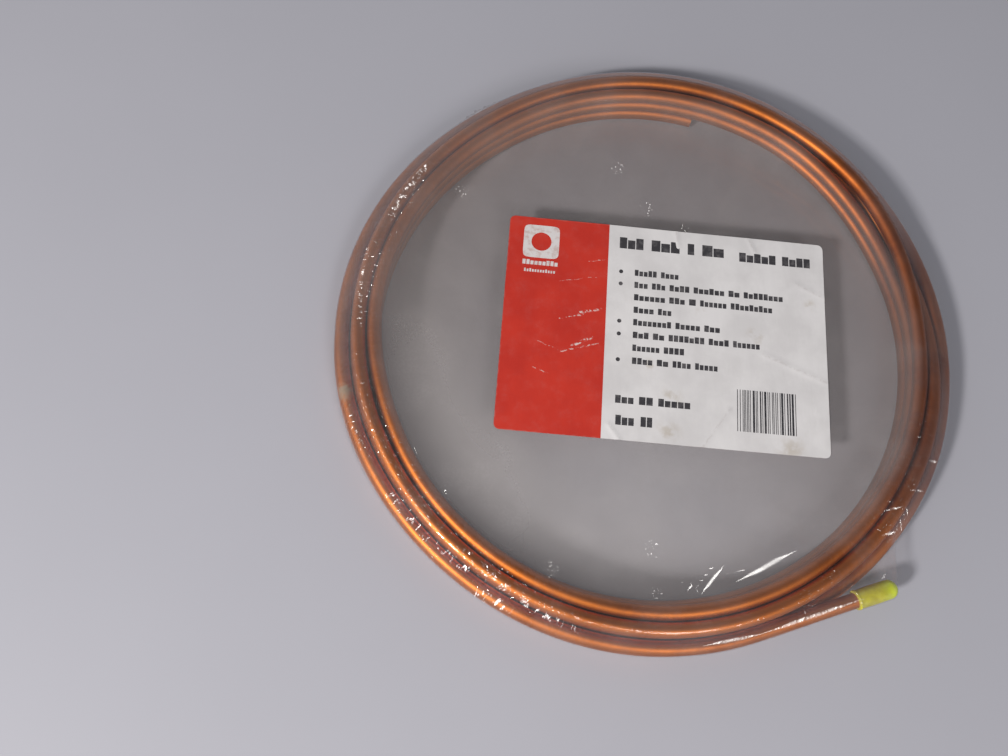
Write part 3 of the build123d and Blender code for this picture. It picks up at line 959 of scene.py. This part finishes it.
def onto_label(bm, lift):
    """Lays a bmesh that is flat in the label's own plane on the label's relief, and turns it into place."""
    across = np.array([vert.co for vert in bm.verts])
    heights = label_relief(across[:, 0], across[:, 1])
    for vert, height in zip(bm.verts, heights):
        vert.co.z += height + lift
    place = Matrix.Translation((*LABEL_CENTRE, LABEL_BASE)) @ Matrix.Rotation(LABEL_TURN, 4, "Z")
    bmesh.ops.transform(bm, matrix=place, verts=bm.verts)


def make_label():
    """A rectangular sticker with rounded corners, slack waves and creases."""
    half = np.array([LABEL_WIDTH, LABEL_HEIGHT]) / 2

    def place(u, v):
        spot = np.stack([u * 2 - 1, v * 2 - 1], -1) * half
        past = np.maximum(np.abs(spot) - half + LABEL_CORNER, 0)
        longest = past.max(1)
        round_off = np.where(longest > 0, longest / np.maximum(np.hypot(past[:, 0], past[:, 1]), 1e-9), 1)
        spot = np.sign(spot) * (np.abs(spot) - past * (1 - round_off[:, None]))
        return np.stack([spot[:, 0], spot[:, 1], np.zeros_like(u)], -1)

    columns, rows = round(LABEL_WIDTH / LABEL_CELL), round(LABEL_HEIGHT / LABEL_CELL)
    bm = shaped_grid(columns, rows, place)
    onto_label(bm, LABEL_SLACK)
    made = bmesh.ops.extrude_face_region(bm, geom=bm.faces[:])
    lifted = [item for item in made["geom"] if isinstance(item, bmesh.types.BMVert)]
    bmesh.ops.translate(bm, vec=(0, 0, LABEL_THICKNESS), verts=lifted)
    bmesh.ops.recalc_face_normals(bm, faces=bm.faces)
    piece = place_object(bm, "label_sticker")
    piece.data.set_sharp_from_angle(angle=math.radians(40))
    give(piece, label_material())
    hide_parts("label")


def add_block(bm, left, foot, right, top):
    """A flat rectangle of print, in millimetres."""
    made = bmesh.ops.create_grid(bm, x_segments=1, y_segments=1, size=0.5)["verts"]
    bmesh.ops.scale(bm, vec=((right - left) * MM, (top - foot) * MM, 1), verts=made)
    bmesh.ops.translate(bm, vec=((left + right) / 2 * MM, (foot + top) / 2 * MM, 0), verts=made)


def finish_print(bm, name, material):
    """Gives flat print its thickness and lays it on the label."""
    made = bmesh.ops.extrude_face_region(bm, geom=bm.faces[:])
    lifted = [item for item in made["geom"] if isinstance(item, bmesh.types.BMVert)]
    bmesh.ops.translate(bm, vec=(0, 0, PRINT_LIFT), verts=lifted)
    bmesh.ops.recalc_face_normals(bm, faces=bm.faces)
    onto_label(bm, LABEL_SLACK + LABEL_THICKNESS - PRINT_LIFT * 0.4)
    piece = place_object(bm, name, smooth=False)
    give(piece, material)


def add_text_rows(bm, rows, draw):
    """Rows of plain blocks where a label has its lines of text."""
    for left, baseline, height, words in rows:
        for word in words:
            letters = max(1, round(word / (height * 0.72)))
            pitch = (word + LETTER_GAP) / letters
            for letter in range(letters):
                start = left + letter * pitch
                tall = height if letter == 0 or draw.random() < 0.25 else height * 0.78
                add_block(bm, start, baseline, start + pitch - LETTER_GAP, baseline + tall)
            left += word + WORD_GAP * height / 3.4


def make_text_blocks():
    """The label's rows of blocks, with round bullets."""
    bm = bmesh.new()
    add_text_rows(bm, TEXT_LINES, random.Random(7))
    for x, y in BULLETS:
        made = bmesh.ops.create_circle(bm, cap_ends=True, segments=16, radius=BULLET_RADIUS * MM)["verts"]
        bmesh.ops.translate(bm, vec=(x * MM, y * MM, 0), verts=made)
    ink = print_material("grey_print", (0.035, 0.033, 0.038), (0.09, 0.085, 0.09))
    finish_print(bm, "label_text_blocks", ink)


def make_stripe_block():
    """A block of upright stripes of uneven width."""
    draw = random.Random(31)
    bm = bmesh.new()
    left = STRIPES_LEFT
    while left < STRIPES_RIGHT - 1:
        width = draw.choice((0.3, 0.3, 0.6, 0.9))
        add_block(bm, left, STRIPES_FOOT, left + width, STRIPES_TOP)
        left += width + draw.choice((0.3, 0.45, 0.6, 0.9))
    add_block(bm, STRIPES_RIGHT - 0.3, STRIPES_FOOT, STRIPES_RIGHT, STRIPES_TOP)
    ink = print_material("black_print", (0.02, 0.02, 0.025), (0.06, 0.055, 0.06))
    finish_print(bm, "label_stripe_block", ink)


def make_panel_mark():
    """A plain square plate with a round hole, over two rows of blocks."""
    bm = bmesh.new()
    hole = bmesh.ops.create_circle(bm, segments=64, radius=MARK_HOLE * MM)["verts"]
    plate = bmesh.ops.create_circle(bm, segments=64, radius=1.0)["verts"]
    for vert in plate:
        vert.co *= MARK_HALF * MM / (abs(vert.co.x) ** 8 + abs(vert.co.y) ** 8) ** (1 / 8)
    edges = {edge for vert in hole + plate for edge in vert.link_edges}
    bmesh.ops.bridge_loops(bm, edges=list(edges))
    bmesh.ops.translate(bm, vec=(MARK_CENTRE[0] * MM, MARK_CENTRE[1] * MM, 0), verts=bm.verts)
    add_text_rows(bm, MARK_LINES, random.Random(3))
    ink = print_material("white_print", (0.60, 0.57, 0.57), (0.50, 0.40, 0.38))
    finish_print(bm, "label_panel_mark", ink)


# Stage, light and camera

def stage_material(name, colour):
    """A plain painted surface with a faint mottle."""
    material, shader = new_material(name)
    mottle = shader.noise(shader.coordinates(), 9, 4.0)
    darker = tuple(part * 0.94 for part in colour)
    shade = shader.mix(mottle, (*colour, 1), (*darker, 1))
    surface = shader.add("ShaderNodeBsdfPrincipled", Base_Color=shade, Roughness=0.6)
    shader.add("ShaderNodeOutputMaterial", Surface=surface.outputs[0])
    return material


def make_stage():
    """A wide pale floor."""
    bm = bmesh.new()
    bmesh.ops.create_grid(bm, x_segments=8, y_segments=8, size=FLOOR_HALF)
    floor = place_object(bm, "floor")
    floor.data.materials.append(stage_material("pale_floor", (0.375, 0.375, 0.42)))


def area_light(name, azimuth, elevation, distance, size, power, colour=(1, 1, 1)):
    """A soft rectangular lamp that faces the coil."""
    lamp = bpy.data.lights.new(name, "AREA")
    lamp.shape = "RECTANGLE"
    lamp.size, lamp.size_y = size
    lamp.energy = power
    lamp.color = colour
    away = heading(azimuth, elevation)
    holder = bpy.data.objects.new(name, lamp)
    holder.location = away * distance
    holder.rotation_euler = away.to_track_quat("Z", "Y").to_euler()
    bpy.context.scene.collection.objects.link(holder)


def make_lights():
    """A sky that darkens upward, a soft key from the front left and a weaker lamp from the front right.

    Camera rays alone see the sky as one plain pale colour.
    """
    world = bpy.data.worlds.new("sky")
    bpy.context.scene.world = world
    world.use_nodes = True
    shader = Shader(world.node_tree)
    path = shader.add("ShaderNodeLightPath").outputs["Is Camera Ray"]
    toward = shader.add("ShaderNodeTexCoord").outputs["Generated"]
    level = shader.ramp(shader.split(toward)[2], 0.15, 0.95, 0.62, 0.15)
    uneven = shader.math("ADD", shader.dot(toward, (-0.23, -0.26, 0.0)), 1.0)
    colour = shader.mix(shader.math("MULTIPLY", level, uneven), (0, 0, 0, 1), (0.98, 0.99, 1.04, 1))
    colour = shader.mix(path, colour, (0.72, 0.73, 0.76, 1))
    sky = shader.add("ShaderNodeBackground", Color=colour, Strength=1.0)
    shader.add("ShaderNodeOutputWorld", Surface=sky.outputs[0])
    area_light("key", KEY_AZIMUTH, KEY_ELEVATION, LAMP_DISTANCE, (0.18, 0.18), 20.5, (1.0, 0.97, 0.93))
    area_light(
        "front_right", FRONT_RIGHT_AZIMUTH, FRONT_RIGHT_ELEVATION, LAMP_DISTANCE, (0.45, 0.45), 6.5,
        (1.0, 0.97, 0.94),
    )


def make_camera():
    """The photograph's camera."""
    level_right = Vector((1, 0, 0))
    level_up = CAMERA_BACK.cross(level_right)
    right = level_right * math.cos(CAMERA_ROLL) + level_up * math.sin(CAMERA_ROLL)
    up = CAMERA_BACK.cross(right)
    turned = Matrix((right, up, CAMERA_BACK)).transposed().to_4x4()
    camera = bpy.data.cameras.new("camera")
    camera.sensor_width = 36
    camera.lens = camera.sensor_width * FOCAL_PIXELS / IMAGE_WIDTH
    camera.clip_start = 0.01
    holder = bpy.data.objects.new("camera", camera)
    holder.matrix_world = Matrix.Translation(CAMERA_TARGET + CAMERA_BACK * CAMERA_DISTANCE) @ turned
    bpy.context.scene.collection.objects.link(holder)
    bpy.context.scene.camera = holder


make_copper_tube()
make_cap()
make_film()
make_label()
make_text_blocks()
make_stripe_block()
make_panel_mark()
make_stage()
make_lights()
make_camera()
bpy.context.scene.view_settings.view_transform = "Standard"
